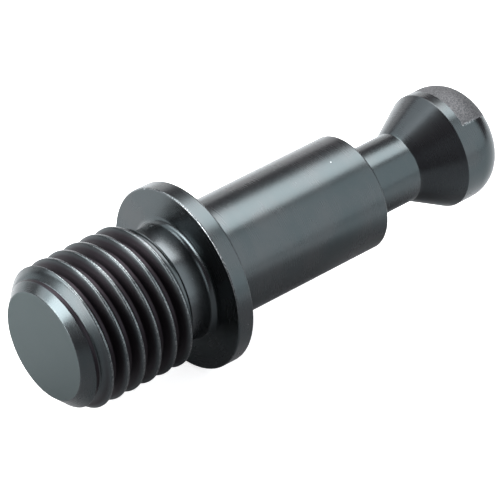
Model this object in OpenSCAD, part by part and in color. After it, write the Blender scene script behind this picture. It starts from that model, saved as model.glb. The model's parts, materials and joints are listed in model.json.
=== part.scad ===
// Threaded quick-change clamping post, turned from one bar of steel.
// It screws into a base up to its flange, its shank guides the part that is clamped,
// and a clamp pulls on the cone under its head.
// +X runs along the post from the threaded end to the head, and +Z is up.
// The origin is on the post's axis, in the flange's seating face.

/* [Thread] */
// Outside diameter of the thread
thread_d = 19.8; // [17.5:0.1:30]
// Distance from one crest of the thread to the next
thread_pitch = 2.5; // [1.5:0.25:3]
// Flat part of each crest, along the post
crest_flat = 0.32; // [0.2:0.02:0.6]
// Flat part of each root, along the post
root_flat = 0.52; // [0.2:0.02:0.6]
// Where the thread's root opens on the chamfer, turned from +Y towards +Z
thread_start = 56; // [0:1:359]
// Distance from the seating face to the threaded end
stud_len = 21.2; // [15:0.2:60]
// Width of the 45 degree chamfer at the threaded end
lead_chamfer = 2.5; // [2:0.1:3.5]

/* [Relief groove] */
// How far the groove lies below the thread's root
relief_drop = 0.66; // [0.2:0.02:1.2]
// Length of the groove, with its fillet
relief_len = 5.1; // [3.6:0.2:8]
// Radius of the fillet where the groove meets the seating face
relief_fillet = 0.9; // [0.4:0.1:1.6]

/* [Flange] */
// Outside diameter of the flange
flange_d = 25; // [22:0.5:50]
// Thickness of the flange
flange_t = 2.4; // [1.2:0.1:8]

/* [Shank] */
// Diameter of the plain shank
shank_d = 15.9; // [12:0.1:20]
// Length of the plain shank behind the flange
shank_len = 26.3; // [10:0.5:80]
// Radius of the fillet where the shank leaves the flange
shank_fillet = 0.3; // [0.1:0.05:0.8]

/* [Neck and head] */
// Diameter of the neck
neck_d = 9.5; // [6:0.2:11]
// Length of the neck's straight part
neck_len = 8.4; // [4:0.2:20]
// Radius of the fillet where the neck meets the shank's end
neck_fillet = 0.3; // [0.1:0.05:0.8]
// Gap left round the head in a bush that just fits the shank
head_clearance = 0.05; // [0.05:0.05:0.5]
// Angle between the clamping cone and the post's axis
cone_angle = 29; // [25:0.5:50]
// Length of the head's straight band
head_band = 2.7; // [0.5:0.1:6]
// Radius of the head's rounded rear corner
head_round = 4.3; // [1:0.1:5.5]

/* [Edges] */
// Width of the small 45 degree breaks on the turned edges
edge_break = 0.25; // [0.1:0.05:0.4]

/* [Hidden] */

black_steel = [0.14, 0.15, 0.16];
turned_fn = 180;    // facets of the turned surfaces in a preview
arc_fn = 48;        // facets of the small arcs in a preview
turn_steps = 48;    // straight steps in one turn of the thread groove

thread_r = thread_d / 2;
flange_r = flange_d / 2;
shank_r = shank_d / 2;
neck_r = neck_d / 2;
head_r = shank_r - head_clearance;

// A 60 degree thread: each flank leans 30 degrees from a plane across the post.
flank_slope = tan(60);
groove_depth = (thread_pitch - crest_flat - root_flat) / 2 * flank_slope;
root_r = thread_r - groove_depth;
relief_r = root_r - relief_drop;

// The groove cutter stands out of the blank by less than half a crest's reach,
// so that neighbouring turns of it never touch.
cutter_outset = 0.8 * crest_flat / 2 * flank_slope;
cutter_half_root = root_flat / 2;
cutter_half_mouth = cutter_half_root + (groove_depth + cutter_outset) / flank_slope;

// Stations along the post, from the threaded end to the end of the head
end_x = -stud_len;
thread_end_x = -relief_len;
shoulder_x = thread_end_x + (thread_r - relief_r) / flank_slope;
shank_end_x = flange_t + shank_len;
cone_start_x = shank_end_x + neck_len;
cone_end_x = cone_start_x + (head_r - neck_r) / tan(cone_angle);
band_end_x = cone_end_x + head_band;
head_end_x = band_end_x + head_round;

// The groove's middle where its root opens on the chamfer, and the turns it is
// cut for: from half a pitch past the threaded end to the middle of the relief.
open_x = end_x + lead_chamfer - groove_depth;
first_turn = (end_x - thread_pitch / 2 - open_x) / thread_pitch;
last_turn = (thread_end_x / 2 - open_x) / thread_pitch;
cutter_steps = ceil((last_turn - first_turn) * turn_steps);

// The cutter's cross-section as [radius, offset along the post], in order
cutter_section = [
    [root_r, -cutter_half_root],
    [root_r, cutter_half_root],
    [thread_r + cutter_outset, cutter_half_mouth],
    [thread_r + cutter_outset, -cutter_half_mouth]
];
corners = len(cutter_section);

// Corner c of the cutter's cross-section, after the given number of turns
function cutter_point(turn, c) =
    let (a = thread_start + 360 * turn, r = cutter_section[c][0])
    [open_x + thread_pitch * turn + cutter_section[c][1], r * cos(a), r * sin(a)];

// Solid that cuts the right-hand thread groove
module groove_cutter() {
    points = [for (i = [0:cutter_steps], c = [0:corners - 1])
        cutter_point(first_turn + (last_turn - first_turn) * i / cutter_steps, c)];
    walls = [for (i = [0:cutter_steps - 1], c = [0:corners - 1])
        let (a = i * corners + c, b = i * corners + (c + 1) % corners)
        for (face = [[b + corners, b, a], [a + corners, b + corners, a]]) face];
    last = cutter_steps * corners;
    first_cap = [[0, 1, 2], [0, 2, 3]];
    last_cap = [[last + 2, last + 1, last], [last + 3, last + 2, last]];
    polyhedron(points = points, faces = concat(walls, first_cap, last_cap));
}

// Half outline of the turned blank as [radius, station], with its fillet corners
// still square and the head's rear corner still sharp
module square_outline() {
    polygon([
        [0, end_x],
        [thread_r - lead_chamfer, end_x],
        [thread_r, end_x + lead_chamfer],
        [thread_r, thread_end_x],
        [relief_r, shoulder_x],
        [relief_r, -relief_fillet],
        [relief_r + relief_fillet, -relief_fillet],
        [relief_r + relief_fillet, 0],
        [flange_r - edge_break, 0],
        [flange_r, edge_break],
        [flange_r, flange_t - edge_break],
        [flange_r - edge_break, flange_t],
        [shank_r + shank_fillet, flange_t],
        [shank_r + shank_fillet, flange_t + shank_fillet],
        [shank_r, flange_t + shank_fillet],
        [shank_r, shank_end_x - edge_break],
        [shank_r - edge_break, shank_end_x],
        [neck_r + neck_fillet, shank_end_x],
        [neck_r + neck_fillet, shank_end_x + neck_fillet],
        [neck_r, shank_end_x + neck_fillet],
        [neck_r, cone_start_x],
        [head_r, cone_end_x],
        [head_r, head_end_x],
        [0, head_end_x]
    ]);
}

// Circle of an arc in the half outline
module arc_at(r, x, radius) {
    translate([r, x]) circle(radius, $fn = arc_fn);
}

// Piece to take off a sharp corner so that it becomes round
module corner_waste() {
    difference() {
        translate([head_r - head_round, band_end_x]) square(2 * head_round);
        arc_at(head_r - head_round, band_end_x, head_round);
    }
}

module turned_blank() {
    rotate([0, 90, 0]) rotate_extrude($fn = turned_fn) difference() {
        square_outline();
        arc_at(relief_r + relief_fillet, -relief_fillet, relief_fillet);
        arc_at(shank_r + shank_fillet, flange_t + shank_fillet, shank_fillet);
        arc_at(neck_r + neck_fillet, shank_end_x + neck_fillet, neck_fillet);
        corner_waste();
    }
}

module post() {
    color(black_steel) difference() {
        turned_blank();
        groove_cutter();
    }
}

post();
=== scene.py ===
"""Looks of a threaded quick-change clamping post, turned from one bar of steel.

A Geometry Nodes tree turns the post's half outline round its axis and winds the thread
groove round the stud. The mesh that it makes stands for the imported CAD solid.
All sizes are in metres. +X runs along the post towards its head, and +Z is up.
"""

import json
import math

import bpy
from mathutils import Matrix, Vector


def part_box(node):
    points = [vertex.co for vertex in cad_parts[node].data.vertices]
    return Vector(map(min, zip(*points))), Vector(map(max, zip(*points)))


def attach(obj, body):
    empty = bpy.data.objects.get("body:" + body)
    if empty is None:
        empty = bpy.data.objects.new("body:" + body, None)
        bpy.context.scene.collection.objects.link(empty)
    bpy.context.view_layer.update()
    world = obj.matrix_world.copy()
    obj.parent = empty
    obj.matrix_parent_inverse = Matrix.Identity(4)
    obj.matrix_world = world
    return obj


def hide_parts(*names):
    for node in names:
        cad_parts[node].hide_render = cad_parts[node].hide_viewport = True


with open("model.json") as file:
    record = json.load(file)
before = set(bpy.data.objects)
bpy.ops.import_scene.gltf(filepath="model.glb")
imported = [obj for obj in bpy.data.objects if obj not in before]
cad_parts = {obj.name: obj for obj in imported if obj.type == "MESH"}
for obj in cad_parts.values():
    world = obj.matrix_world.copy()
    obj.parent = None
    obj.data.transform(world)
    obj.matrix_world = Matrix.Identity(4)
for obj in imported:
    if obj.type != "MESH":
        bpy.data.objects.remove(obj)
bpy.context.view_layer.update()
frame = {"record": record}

MM = 0.001

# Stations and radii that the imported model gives
mounts = {mount["name"]: mount for mount in frame["record"]["mounts"]}
lowest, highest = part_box("post")
end_x = lowest.x
head_end_x = highest.x
flange_radius = highest.z
flange_back_x = mounts["flange_back_face"]["pos_m"][0]
thread_radius = mounts["thread"]["dims"]["r_mm"] * MM
shank_radius = mounts["shank"]["dims"]["r_mm"] * MM

# Thread and relief groove
thread_pitch = 2.5 * MM
crest_flat = 0.32 * MM
root_flat = 0.52 * MM
thread_start = math.radians(56)
lead_chamfer = 2.5 * MM
flank_slope = math.tan(math.radians(60))
groove_depth = (thread_pitch - crest_flat - root_flat) / 2 * flank_slope
root_radius = thread_radius - groove_depth
groove_open_x = end_x + lead_chamfer - groove_depth
relief_drop = 0.66 * MM
relief_len = 5.1 * MM
relief_radius = root_radius - relief_drop
thread_end_x = -relief_len
shoulder_x = thread_end_x + (thread_radius - relief_radius) / flank_slope

# Neck and head
shank_len = 26.3 * MM
neck_len = 8.4 * MM
neck_radius = 4.75 * MM
head_clearance = 0.05 * MM
head_radius = shank_radius - head_clearance
head_round = 4.3 * MM
cone_angle = math.radians(29)
shank_end_x = flange_back_x + shank_len
cone_start_x = shank_end_x + neck_len
cone_end_x = cone_start_x + (head_radius - neck_radius) / math.tan(cone_angle)

# Radii of the small round edges and fillets
thread_edge = 0.2 * MM
fine_edge = 0.15 * MM
turned_edge = 0.22 * MM
small_fillet = 0.3 * MM
shoulder_fillet = 0.35 * MM
cone_fillet = 0.3 * MM
relief_fillet = 0.9 * MM

# Fineness of the mesh
columns = 192
rows_per_pitch = 48
merge_distance = 0.0005 * MM
support_gap = 0.05 * MM
arc_step = 0.25 * MM
fewest_arc_points = 5

# Least radius that the finish divides by
smallest_radius = 0.01 * MM


class Number:
    """A number that a node tree works out, so that a formula reads as plain arithmetic."""

    def __init__(self, tree, socket):
        self.tree = tree
        self.socket = socket

    def math(self, operation, *others):
        node = add_node(self.tree, "ShaderNodeMath", operation=operation)
        for value, socket in zip((self, *others), node.inputs):
            feed(self.tree, value, socket)
        return Number(self.tree, node.outputs[0])

    def __add__(self, other):
        return self.math("ADD", other)

    def __sub__(self, other):
        return self.math("SUBTRACT", other)

    def __rsub__(self, other):
        return self.math("MULTIPLY", -1).math("ADD", other)

    def __mul__(self, other):
        return self.math("MULTIPLY", other)

    def __truediv__(self, other):
        return self.math("DIVIDE", other)

    def clamp(self, low, high):
        return self.math("MAXIMUM", low).math("MINIMUM", high)

    def ramp(self, low, high):
        """0 below low and 1 above high, with a smooth rise between."""
        node = add_node(self.tree, "ShaderNodeMapRange", interpolation_type="SMOOTHSTEP")
        feed(self.tree, self, node.inputs["Value"])
        feed(self.tree, low, node.inputs["From Min"])
        feed(self.tree, high, node.inputs["From Max"])
        return Number(self.tree, node.outputs["Result"])


def feed(tree, value, socket):
    """Links a number or an output to a socket, or sets the socket's own value."""
    if isinstance(value, Number):
        value = value.socket
    if isinstance(value, bpy.types.NodeSocket):
        tree.links.new(value, socket)
    else:
        socket.default_value = value


def add_node(tree, kind, inputs=None, **settings):
    """Adds a node with these settings and feeds its inputs, named or numbered."""
    node = tree.nodes.new(kind)
    for name, value in settings.items():
        setattr(node, name, value)
    for key, value in (inputs or {}).items():
        feed(tree, value, node.inputs[key])
    return node


# ---------------------------------------------------------------- shape

SOCKET_KINDS = {
    "geometry": ("NodeSocketGeometry", None),
    "material": ("NodeSocketMaterial", None),
    "count": ("NodeSocketInt", None),
    "length": ("NodeSocketFloat", "DISTANCE"),
    "angle": ("NodeSocketFloat", "ANGLE"),
    "factor": ("NodeSocketFloat", None),
}


def new_shape_tree(name, inputs):
    """An empty Geometry Nodes tree with these inputs, as {name: kind}, and its inputs by name."""
    tree = bpy.data.node_groups.new(name, "GeometryNodeTree")
    tree.interface.new_socket("Geometry", in_out="OUTPUT", socket_type="NodeSocketGeometry")
    for label, kind in inputs.items():
        socket_type, subtype = SOCKET_KINDS[kind]
        socket = tree.interface.new_socket(label, in_out="INPUT", socket_type=socket_type)
        if subtype:
            socket.subtype = subtype
    outputs = tree.nodes.new("NodeGroupInput").outputs
    given = {}
    for label, kind in inputs.items():
        plain = kind in ("geometry", "material")
        given[label] = outputs[label] if plain else Number(tree, outputs[label])
    return tree, given


def finish_shape_tree(tree, geometry):
    group_output = tree.nodes.new("NodeGroupOutput")
    tree.links.new(geometry, group_output.inputs["Geometry"])
    return tree


def ring_grid(tree, rows, columns_round):
    """A flat grid to be wrapped round the X axis, with its row and turn at each point.

    Rows run from 0. The turn goes from 0 at the first column to 1 at the last, and the
    two meet when the grid is wrapped.
    """
    ring = columns_round + 1
    grid = add_node(
        tree, "GeometryNodeMeshGrid", {"Vertices X": rows, "Vertices Y": ring}
    )
    index = Number(tree, tree.nodes.new("GeometryNodeInputIndex").outputs[0])
    row = (index / ring).math("FLOOR")
    turn = (index - row * ring) / columns_round
    return grid.outputs["Mesh"], row, turn


def wrap_round_axis(tree, grid, x, radius, turn):
    """Moves the grid's points to x, at that radius, turned from +Y towards +Z."""
    angle = turn * math.tau
    place = add_node(tree, "ShaderNodeCombineXYZ", {
        "X": x,
        "Y": radius * angle.math("COSINE"),
        "Z": radius * angle.math("SINE"),
    })
    moved = add_node(
        tree, "GeometryNodeSetPosition", {"Geometry": grid, "Position": place.outputs[0]}
    )
    return moved.outputs["Geometry"]


def thread_band_tree():
    """A band of the threaded stud from Start to End.

    With Follow at 1 its rows of points run along the thread, and with 0 they are rings.
    """
    tree, size = new_shape_tree("Thread band", {
        "Start": "length",
        "End": "length",
        "Row Step": "length",
        "Follow": "factor",
        "Columns": "count",
        "Crest Radius": "length",
        "Root Radius": "length",
        "Pitch": "length",
        "Root Flat": "length",
        "Flank Slope": "factor",
        "Groove Station": "length",
        "Groove Angle": "angle",
        "Post End": "length",
        "Post End Radius": "length",
        "Thread End": "length",
        "Edge": "length",
    })
    lag = size["Pitch"] * size["Follow"]
    rows = ((size["End"] - size["Start"] + lag) / size["Row Step"]).math("CEIL") + 1
    grid, row, turn = ring_grid(tree, rows, size["Columns"])
    x = size["Start"] - lag * (1 - turn) + row * size["Row Step"]
    x = x.clamp(size["Start"], size["End"])

    groove_turn = turn - size["Groove Angle"] / math.tau
    from_groove = (x - size["Groove Station"] - size["Pitch"] * groove_turn).math(
        "PINGPONG", size["Pitch"] / 2
    )
    edge = size["Edge"]
    slope = size["Flank Slope"]
    flank = size["Root Radius"] + (from_groove - size["Root Flat"] / 2) * slope
    groove = flank.math("SMOOTH_MAX", size["Root Radius"], edge)
    chamfer = size["Post End Radius"] + x - size["Post End"]
    shoulder = size["Crest Radius"] - (x - size["Thread End"]) * slope
    radius = groove.math("SMOOTH_MIN", size["Crest Radius"], edge)
    radius = radius.math("SMOOTH_MIN", chamfer, edge)
    radius = radius.math("SMOOTH_MIN", shoulder, edge)
    return finish_shape_tree(tree, wrap_round_axis(tree, grid, x, radius, turn))


def revolved_outline_tree():
    """Turns one open chain of edges, drawn as X and radius, round the X axis."""
    tree, size = new_shape_tree("Revolved outline", {
        "Outline": "geometry",
        "Columns": "count",
        "Arc Step": "length",
        "Fewest Arc Points": "count",
    })
    corner = add_node(
        tree, "GeometryNodeInputNamedAttribute", {"Name": "corner_radius"}, data_type="FLOAT"
    )
    corner_radius = Number(tree, corner.outputs["Attribute"])
    curve = add_node(tree, "GeometryNodeMeshToCurve", {"Mesh": size["Outline"]})
    arc_points = corner_radius / size["Arc Step"] + size["Fewest Arc Points"]
    rounded = add_node(tree, "GeometryNodeFilletCurve", {
        "Curve": curve.outputs[0],
        "Radius": corner_radius,
        "Limit Radius": True,
        "Count": arc_points,
    }, mode="POLY")
    count = add_node(
        tree, "GeometryNodeAttributeDomainSize", {0: rounded.outputs[0]}, component="CURVE"
    )
    grid, row, turn = ring_grid(
        tree, Number(tree, count.outputs["Point Count"]), size["Columns"]
    )
    sample = add_node(tree, "GeometryNodeSampleIndex", {
        "Geometry": rounded.outputs[0],
        "Value": tree.nodes.new("GeometryNodeInputPosition").outputs[0],
        "Index": row,
    }, data_type="FLOAT_VECTOR", domain="POINT")
    point = add_node(tree, "ShaderNodeSeparateXYZ", {0: sample.outputs[0]})
    x = Number(tree, point.outputs["X"])
    radius = Number(tree, point.outputs["Y"])
    return finish_shape_tree(tree, wrap_round_axis(tree, grid, x, radius, turn))


def turned_post_tree(thread_band, revolved_outline):
    """The whole post: two revolved outlines with three thread bands between them."""
    band_sizes = {
        "Columns": "count",
        "Crest Radius": "length",
        "Root Radius": "length",
        "Pitch": "length",
        "Root Flat": "length",
        "Flank Slope": "factor",
        "Groove Station": "length",
        "Groove Angle": "angle",
        "Post End": "length",
        "Post End Radius": "length",
        "Thread End": "length",
        "Edge": "length",
    }
    tree, size = new_shape_tree("Turned post", {
        "Outlines": "geometry",
        "Stud Start": "length",
        "Stud End": "length",
        "Chamfer End": "length",
        "Last Thread Row": "length",
        "Rows per Pitch": "count",
        "Arc Step": "length",
        "Fewest Arc Points": "count",
        "Merge Distance": "length",
        "Material": "material",
        **band_sizes,
    })
    behind = add_node(
        tree, "GeometryNodeInputNamedAttribute", {"Name": "behind_thread"}, data_type="BOOLEAN"
    )
    halves = add_node(tree, "GeometryNodeSeparateGeometry", {
        "Geometry": size["Outlines"],
        "Selection": behind.outputs["Attribute"],
    }, domain="POINT")
    parts = []
    for outline in halves.outputs:
        turned = add_node(tree, "GeometryNodeGroup", node_tree=revolved_outline)
        feed(tree, outline, turned.inputs["Outline"])
        for label in ("Columns", "Arc Step", "Fewest Arc Points"):
            feed(tree, size[label], turned.inputs[label])
        parts.append(turned.outputs[0])

    row_step = size["Pitch"] / size["Rows per Pitch"]
    bands = (
        (size["Stud Start"], size["Chamfer End"], 0),
        (size["Chamfer End"], size["Last Thread Row"], 1),
        (size["Last Thread Row"], size["Stud End"], 0),
    )
    for start, end, follow in bands:
        band = add_node(tree, "GeometryNodeGroup", node_tree=thread_band)
        feed(tree, start, band.inputs["Start"])
        feed(tree, end, band.inputs["End"])
        feed(tree, row_step, band.inputs["Row Step"])
        band.inputs["Follow"].default_value = follow
        for label in band_sizes:
            feed(tree, size[label], band.inputs[label])
        parts.append(band.outputs[0])

    joined = tree.nodes.new("GeometryNodeJoinGeometry")
    for part in parts:
        tree.links.new(part, joined.inputs[0])
    closed = add_node(tree, "GeometryNodeMergeByDistance", {
        "Geometry": joined.outputs[0],
        "Distance": size["Merge Distance"],
    })
    # Rows run along the post and columns from +Y towards +Z, so the faces start inwards.
    outward = add_node(tree, "GeometryNodeFlipFaces", {"Mesh": closed.outputs[0]})
    smooth = add_node(tree, "GeometryNodeSetShadeSmooth", {"Geometry": outward.outputs[0]})
    real = add_node(tree, "GeometryNodeRealizeInstances", {"Geometry": smooth.outputs[0]})
    finished = add_node(tree, "GeometryNodeSetMaterial", {
        "Geometry": real.outputs[0],
        "Material": size["Material"],
    })
    return finish_shape_tree(tree, finished.outputs[0])


def with_supports(corners):
    """Adds a plain point just outside each round corner, which keeps long faces true."""
    points = []
    for i, (x, radius, corner_radius) in enumerate(corners):
        here = Vector((x, radius))
        if corner_radius == 0:
            points.append((x, radius, 0))
            continue
        back = (Vector(corners[i - 1][:2]) - here).normalized()
        ahead = (Vector(corners[i + 1][:2]) - here).normalized()
        reach = corner_radius / math.tan(back.angle(ahead) / 2) + support_gap
        points.append((*(here + back * reach), 0))
        points.append((x, radius, corner_radius))
        points.append((*(here + ahead * reach), 0))
    return points


def outline_mesh(outlines):
    """A mesh of open chains of edges, each point with its corner's radius."""
    vertices = []
    edges = []
    corner_radii = []
    behind_thread = []
    for number, corners in enumerate(outlines):
        for i, (x, radius, corner_radius) in enumerate(with_supports(corners)):
            if i > 0:
                edges.append((len(vertices) - 1, len(vertices)))
            vertices.append((x, radius, 0))
            corner_radii.append(corner_radius)
            behind_thread.append(number == 1)
    mesh = bpy.data.meshes.new("post outlines")
    mesh.from_pydata(vertices, edges, [])
    mesh.attributes.new("corner_radius", "FLOAT", "POINT").data.foreach_set(
        "value", corner_radii
    )
    mesh.attributes.new("behind_thread", "BOOLEAN", "POINT").data.foreach_set(
        "value", behind_thread
    )
    return mesh


def add_post(material):
    """The post's visible mesh, one closed surface."""
    post_end_radius = thread_radius - lead_chamfer
    stud_start = end_x + 0.3 * MM
    stud_end = shoulder_x - 0.25 * MM
    chamfer_end = end_x + lead_chamfer + 0.1 * MM
    front_outline = [
        (end_x, 0, 0),
        (end_x, post_end_radius, thread_edge),
        (stud_start, post_end_radius + stud_start - end_x, 0),
    ]
    rear_outline = [
        (stud_end, relief_radius + (shoulder_x - stud_end) * flank_slope, 0),
        (shoulder_x, relief_radius, shoulder_fillet),
        (0, relief_radius, relief_fillet),
        (0, flange_radius, turned_edge),
        (flange_back_x, flange_radius, turned_edge),
        (flange_back_x, shank_radius, small_fillet),
        (shank_end_x, shank_radius, turned_edge),
        (shank_end_x, neck_radius, small_fillet),
        (cone_start_x, neck_radius, cone_fillet),
        (cone_end_x, head_radius, fine_edge),
        (head_end_x, head_radius, head_round),
        (head_end_x, 0, 0),
    ]
    tree = turned_post_tree(thread_band_tree(), revolved_outline_tree())
    post = bpy.data.objects.new("turned_post", outline_mesh([front_outline, rear_outline]))
    bpy.context.scene.collection.objects.link(post)
    modifier = post.modifiers.new("Turned post", "NODES")
    modifier.node_group = tree
    values = {
        "Stud Start": stud_start,
        "Stud End": stud_end,
        "Chamfer End": chamfer_end,
        "Last Thread Row": thread_end_x - 0.1 * MM,
        "Rows per Pitch": rows_per_pitch,
        "Arc Step": arc_step,
        "Fewest Arc Points": fewest_arc_points,
        "Merge Distance": merge_distance,
        "Material": material,
        "Columns": columns,
        "Crest Radius": thread_radius,
        "Root Radius": root_radius,
        "Pitch": thread_pitch,
        "Root Flat": root_flat,
        "Flank Slope": flank_slope,
        "Groove Station": groove_open_x,
        "Groove Angle": thread_start,
        "Post End": end_x,
        "Post End Radius": post_end_radius,
        "Thread End": thread_end_x,
        "Edge": thread_edge,
    }
    for item in tree.interface.items_tree:
        if item.name in values:
            modifier[item.identifier] = values[item.name]
    depsgraph = bpy.context.evaluated_depsgraph_get()
    mesh = bpy.data.meshes.new_from_object(post.evaluated_get(depsgraph), depsgraph=depsgraph)
    mesh.name = "turned_post"
    post.modifiers.clear()
    post.data = mesh
    return post


# ---------------------------------------------------------------- finish

OXIDE_COLOUR = (0.046, 0.056, 0.059, 1)
WARM_OXIDE_COLOUR = (0.066, 0.068, 0.07, 1)
# Painted shade deep in the thread groove
GROOVE_SHADE_COLOUR = (0.019, 0.015, 0.018, 1)
# Painted light that makes the relief groove paler
RELIEF_PAINTED_LIGHT_COLOUR = (0.07, 0.078, 0.082, 1)
# Painted shade on the cone under the head
CONE_SHADE_COLOUR = (0.039, 0.044, 0.047, 1)
BLASTED_COLOUR = (0.12, 0.122, 0.126, 1)
DULL_BLASTED_COLOUR = (0.066, 0.068, 0.072, 1)
FACED_COLOUR = (0.051, 0.0655, 0.0665, 1)
# Bright steel of real wear, also used for painted highlights on edges
WEAR_AND_HIGHLIGHT_COLOUR = (0.36, 0.38, 0.39, 1)


def blend_colour(tree, factor, first, second):
    """Mixes two colours; the factor 0 gives the first one."""
    node = add_node(tree, "ShaderNodeMix", data_type="RGBA")
    feed(tree, factor, node.inputs["Factor"])
    feed(tree, first, node.inputs["A"])
    feed(tree, second, node.inputs["B"])
    return node.outputs["Result"]


def noise(tree, vector, scale, detail=2, w=None):
    """Noise between 0 and 1 at each point."""
    node = add_node(tree, "ShaderNodeTexNoise", {
        "Vector": vector,
        "Scale": scale,
        "Detail": detail,
    }, noise_dimensions="4D" if w is not None else "3D")
    if w is not None:
        feed(tree, w, node.inputs["W"])
    return Number(tree, node.outputs["Factor" if "Factor" in node.outputs else "Fac"])


def edge_mask(tree, x, radius, station, edge_radius, width):
    """1 on a turned edge at that station and radius, fading to 0 over the width."""
    along = x - station
    across = radius - edge_radius
    distance = (along * along + across * across).math("SQRT")
    return 1 - distance.ramp(width * 0.3, width)


class PostSurface:
    """Where a point lies on the post, for the finish."""

    def __init__(self, tree):
        self.tree = tree
        self.position = tree.nodes.new("ShaderNodeTexCoord").outputs["Object"]
        apart = add_node(tree, "ShaderNodeSeparateXYZ", {0: self.position})
        self.x, self.y, self.z = (Number(tree, output) for output in apart.outputs)
        from_axis = (self.y * self.y + self.z * self.z).math("SQRT")
        self.radius = from_axis.math("MAXIMUM", smallest_radius)
        self.side = self.y / self.radius
        self.height = self.z / self.radius
        facing = add_node(tree, "ShaderNodeSeparateXYZ", {
            0: tree.nodes.new("ShaderNodeNewGeometry").outputs["Normal"],
        })
        self.lean = Number(tree, facing.outputs["X"]).math("ABSOLUTE")

    def turning_marks(self, spacing, wander):
        """Noise that changes over the spacing along the post and slowly round it."""
        along = add_node(self.tree, "ShaderNodeCombineXYZ", {
            "X": self.x / spacing,
            "Y": self.radius / spacing,
            "Z": self.side * wander,
        })
        return noise(self.tree, along.outputs[0], 1, 3, self.height * wander)


def worn_and_highlit_edges(surface, grain):
    """How far each sharp turned edge is rubbed through to bright steel, partly real wear and partly a
    painted highlight.
    """
    tree = surface.tree
    x = surface.x
    radius = surface.radius
    ragged = grain.ramp(0.45, 0.6)
    on_stud = 1 - x.ramp(thread_end_x, thread_end_x + 0.1 * MM)
    # Thread crests brightened all round: partly wear, partly a painted highlight
    crest = radius.ramp(thread_radius - 0.09 * MM, thread_radius - 0.01 * MM) * on_stud
    rims = edge_mask(tree, x, radius, 0.05 * MM, flange_radius - 0.05 * MM, 0.2 * MM)
    # Painted highlight: the flange's front rim is brightened only on its upper side
    rims = rims * surface.height.ramp(0, 0.8)
    for station, edge_radius in (
        (end_x, thread_radius - lead_chamfer),
        (flange_back_x, flange_radius),
        (shank_end_x, shank_radius),
    ):
        faint = edge_mask(tree, x, radius, station, edge_radius, 0.26 * MM) * 0.12
        rims = rims.math("MAXIMUM", faint)
    return (crest * 0.26).math("MAXIMUM", rims * 0.6) * (ragged * 0.9 + 0.1)


def blasted_patch(surface):
    """1 on the blank grainy patch on the head's rounded upper back, and 1 on its lower rim, which takes
    a painted highlight.
    """
    middle = math.radians(76)
    half_spread = math.radians(52)
    towards = surface.side * math.cos(middle) + surface.height * math.sin(middle)
    across = math.cos(half_spread)
    ragged = noise(surface.tree, surface.position, 2600, 2) * 0.1 - 0.05
    start = cone_end_x + 1.3 * MM
    behind = (surface.x + ragged * (4 * MM)).ramp(start, start + 0.12 * MM)
    towards = towards + ragged * 0.5
    # Painted highlight along the patch's lower rim
    rim = towards.ramp(across - 0.02, across) * (1 - towards.ramp(across + 0.01, across + 0.03))
    return towards.ramp(across, across + 0.012) * behind, rim * behind


def bright_specks(surface, scale, share, size):
    """Small bright flecks, in this share of the cells of a random pattern."""
    cells = add_node(surface.tree, "ShaderNodeTexVoronoi", {
        "Vector": surface.position,
        "Scale": scale,
    })
    distance = Number(surface.tree, cells.outputs["Distance"])
    pick = add_node(surface.tree, "ShaderNodeSeparateColor", {0: cells.outputs["Color"]})
    chosen = 1 - Number(surface.tree, pick.outputs[0]).ramp(share, share + 0.01)
    return (1 - distance.ramp(size * 0.5, size)) * chosen


def groove_shade(surface):
    """How deep a point lies in the thread groove, where painted shade makes the oxide nearly black."""
    in_thread = 1 - surface.x.ramp(thread_end_x - 0.2 * MM, thread_end_x + 0.6 * MM)
    depth = 1 - surface.radius.ramp(root_radius + 0.75 * MM, thread_radius - 0.03 * MM)
    off_chamfer = surface.x.ramp(end_x + 2.3 * MM, end_x + 3.0 * MM)
    level = 1 - surface.lean.ramp(0.45, 0.62)
    root = 1 - surface.radius.ramp(root_radius + 0.1 * MM, root_radius + 0.3 * MM)
    return in_thread * (depth * off_chamfer).math("MAXIMUM", level * root)


def painted_light_in_relief(surface):
    """1 in the relief groove, where painted light makes the oxide a little paler."""
    start = thread_end_x + 0.9 * MM
    end = -0.6 * MM
    return surface.x.ramp(start, start + 0.7 * MM) * (1 - surface.x.ramp(end - 0.5 * MM, end))


def shaded_clamping_cone(surface):
    """1 on the cone under the head, where painted shade makes it darker."""
    start = surface.x.ramp(cone_start_x, cone_start_x + 0.5 * MM)
    return start * (1 - surface.x.ramp(cone_end_x - 0.15 * MM, cone_end_x))


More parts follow.
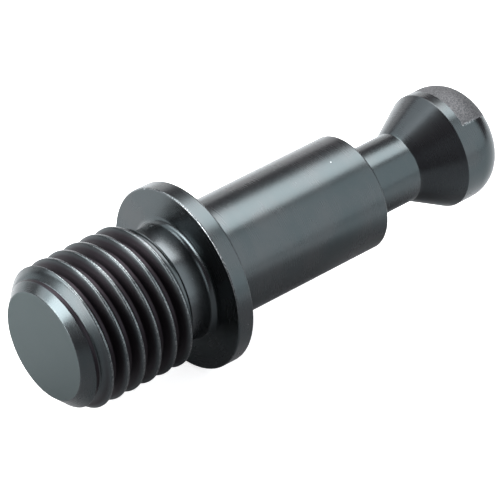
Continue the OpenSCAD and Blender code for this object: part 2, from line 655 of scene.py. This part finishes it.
def black_oxide_steel():
    """Turned steel under a thin black oxide."""
    material = bpy.data.materials.new("black_oxide_steel")
    material.use_nodes = True
    tree = material.node_tree
    shader = tree.nodes["Principled BSDF"]
    surface = PostSurface(tree)
    grain = noise(tree, surface.position, 5200, 3)
    clouds = noise(tree, surface.position, 160, 3)
    fine_marks = surface.turning_marks(0.12 * MM, 1.5)
    broad_marks = surface.turning_marks(0.9 * MM, 0.8)
    patch, patch_rim_highlight = blasted_patch(surface)
    flat_face = surface.lean.ramp(0.93, 0.99)
    end_face = flat_face * (1 - surface.x.ramp(end_x + 0.02 * MM, end_x + 0.1 * MM))
    wear_and_highlights = worn_and_highlit_edges(surface, grain).math("MAXIMUM", patch_rim_highlight * grain.ramp(0.45, 0.6) * 0.5)
    specks = bright_specks(surface, 700, 0.012, 0.1)

    groove = groove_shade(surface)
    tint = clouds.ramp(0.35, 0.7) * 0.5 + broad_marks.ramp(0.4, 0.65) * 0.1
    colour = blend_colour(tree, tint, OXIDE_COLOUR, WARM_OXIDE_COLOUR)
    # Painted shade: the thread groove and its root darkened where shade falls
    colour = blend_colour(tree, groove * 0.92, colour, GROOVE_SHADE_COLOUR)
    # Painted light: the relief groove paler than the lamps leave it
    colour = blend_colour(tree, painted_light_in_relief(surface), colour, RELIEF_PAINTED_LIGHT_COLOUR)
    # Painted shade: the cone under the head darkened
    colour = blend_colour(tree, shaded_clamping_cone(surface) * 0.8, colour, CONE_SHADE_COLOUR)
    blasted = blend_colour(tree, grain.ramp(0.38, 0.62), DULL_BLASTED_COLOUR, BLASTED_COLOUR)
    colour = blend_colour(tree, patch, colour, blasted)
    colour = blend_colour(tree, end_face, colour, FACED_COLOUR)
    # Worn edges and nicks in bright steel, with painted edge highlights
    colour = blend_colour(tree, wear_and_highlights.math("MAXIMUM", specks * 0.8), colour, WEAR_AND_HIGHLIGHT_COLOUR)
    feed(tree, colour, shader.inputs["Base Color"])
    shader.inputs["Metallic"].default_value = 1

    roughness = fine_marks * 0.03 + broad_marks * 0.03 + clouds * 0.08 + 0.2
    roughness = roughness + end_face * 0.2 + patch * 0.4 + groove * 0.2
    feed(tree, roughness, shader.inputs["Roughness"])

    height = fine_marks * 0.3 + broad_marks * 0.25 + grain * (patch * 3 + end_face * 0.6 + 0.25)
    height = height - patch * 2.5
    bump = add_node(tree, "ShaderNodeBump", {
        "Strength": 0.2,
        "Distance": 0.006 * MM,
        "Height": height,
    })
    tree.links.new(bump.outputs[0], shader.inputs["Normal"])
    return material


# ---------------------------------------------------------------- studio

FLOOR_WHITE = 0.8
FLOOR_GLOW = 0.7
# Painted shade of the floor seen in reflections, in front of and under the post
SHADED_SHEET = (0.24, 0.235, 0.24, 1)
PALE_SHEET = (0.62, 0.64, 0.65, 1)
DIM_ROOM = (0.2, 0.15, 0.17, 1)


def add_camera():
    """The camera looks down and along the post, from the threaded end."""
    data = bpy.data.cameras.new("camera")
    data.sensor_width = 36
    data.lens = 304
    data.clip_start = 0.01
    data.clip_end = 20
    camera = bpy.data.objects.new("camera", data)
    bpy.context.scene.collection.objects.link(camera)
    bpy.context.scene.camera = camera
    towards_camera = Vector((-0.5065, -0.6084, 0.611)).normalized()
    view_middle = Vector((8.65, -4.17, 2.86)) * MM
    distance = 0.5343
    camera.location = view_middle + towards_camera * distance
    camera.rotation_mode = "QUATERNION"
    camera.rotation_quaternion = (-towards_camera).to_track_quat("-Z", "Y")
    return camera


def floor_sheet(name, level, material):
    """A level square sheet that only dresses the scene."""
    half = 6
    mesh = bpy.data.meshes.new(name)
    corners = [(-half, -half, level), (half, -half, level), (half, half, level), (-half, half, level)]
    mesh.from_pydata(corners, [], [(0, 1, 2, 3)])
    mesh.materials.append(material)
    floor = bpy.data.objects.new(name, mesh)
    bpy.context.scene.collection.objects.link(floor)
    return floor


def pale_floor_material():
    """White and lit a little from below, so that shadows on it stay light."""
    material = bpy.data.materials.new("pale_floor")
    material.use_nodes = True
    shader = material.node_tree.nodes["Principled BSDF"]
    shader.inputs["Base Color"].default_value = (FLOOR_WHITE, FLOOR_WHITE, FLOOR_WHITE, 1)
    shader.inputs["Roughness"].default_value = 1
    shader.inputs["Specular IOR Level"].default_value = 0
    shader.inputs["Emission Color"].default_value = (1, 1, 1, 1)
    shader.inputs["Emission Strength"].default_value = FLOOR_GLOW
    return material


def mirrored_floor_material():
    """Dark in front of and under the post as painted shade of the floor, and paler behind it and past
    its head.
    """
    material = bpy.data.materials.new("mirrored_floor")
    material.use_nodes = True
    tree = material.node_tree
    shader = tree.nodes["Principled BSDF"]
    place = add_node(tree, "ShaderNodeSeparateXYZ", {
        0: tree.nodes.new("ShaderNodeTexCoord").outputs["Object"],
    })
    behind = Number(tree, place.outputs["Y"]).ramp(-20 * MM, 25 * MM)
    past_head = Number(tree, place.outputs["X"]).ramp(32 * MM, 55 * MM)
    pale = behind.math("MAXIMUM", past_head)
    feed(tree, blend_colour(tree, pale, SHADED_SHEET, PALE_SHEET), shader.inputs["Base Color"])
    shader.inputs["Roughness"].default_value = 1
    shader.inputs["Specular IOR Level"].default_value = 0
    return material


def add_floor():
    """A wide pale floor that the flange rests on, with a darker one only for reflections, which carries
    painted shade.
    """
    pale = floor_sheet("floor", -flange_radius, pale_floor_material())
    pale.visible_glossy = False
    # Painted shade: a darker floor that only the post's reflections see
    mirrored = floor_sheet("floor in reflections", -flange_radius + 0.01 * MM, mirrored_floor_material())
    mirrored.visible_camera = False
    mirrored.visible_diffuse = False
    mirrored.visible_shadow = False


def add_softbox(name, towards, distance, width, height, radiance, colour=(1, 1, 1)):
    """A soft rectangular light in that direction, facing the post."""
    data = bpy.data.lights.new(name, "AREA")
    data.shape = "RECTANGLE"
    data.size = width
    data.size_y = height
    data.energy = radiance * math.pi * width * height
    data.color = colour
    light = bpy.data.objects.new(name, data)
    bpy.context.scene.collection.objects.link(light)
    direction = Vector(towards).normalized()
    light.location = direction * distance
    light.rotation_mode = "QUATERNION"
    light.rotation_quaternion = (-direction).to_track_quat("-Z", "Y")
    light.visible_camera = False
    return light


def add_world():
    """Dim light from all the places that no lamp or sheet takes up."""
    world = bpy.data.worlds.new("studio")
    world.use_nodes = True
    background = world.node_tree.nodes["Background"]
    background.inputs["Color"].default_value = DIM_ROOM
    bpy.context.scene.world = world


def light_studio():
    """Large soft panels all round, which the post mirrors as long stripes."""
    add_world()
    add_softbox("overhead softbox", (0.3, 0.26, 0.84), 1, 1.0, 0.7, 9)
    add_softbox("end softbox", (-0.80, 0.18, 0.57), 1, 0.6, 0.4, 18)
    add_softbox("front panel", (0.4, -0.79, 0.51), 1, 1.4, 1.1, 2.2, (0.94, 1.02, 1.04))
    add_softbox("rear panel", (-0.27, 0.66, 0.7), 1.1, 1.1, 0.75, 2.3, (0.94, 1.01, 1.03))
    add_softbox("rear end panel", (-0.62, 0.62, 0.47), 0.95, 0.4, 0.35, 4)
    add_softbox("low rear panel", (0.2, 0.95, 0.16), 1, 1.3, 0.28, 1.7)
    add_softbox("end card", (-0.95, 0.15, 0.12), 1, 0.75, 0.26, 11)
    bpy.context.scene.view_settings.view_transform = "Standard"


add_camera()
light_studio()
add_floor()
post = add_post(black_oxide_steel())
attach(post, "root")
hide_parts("post")
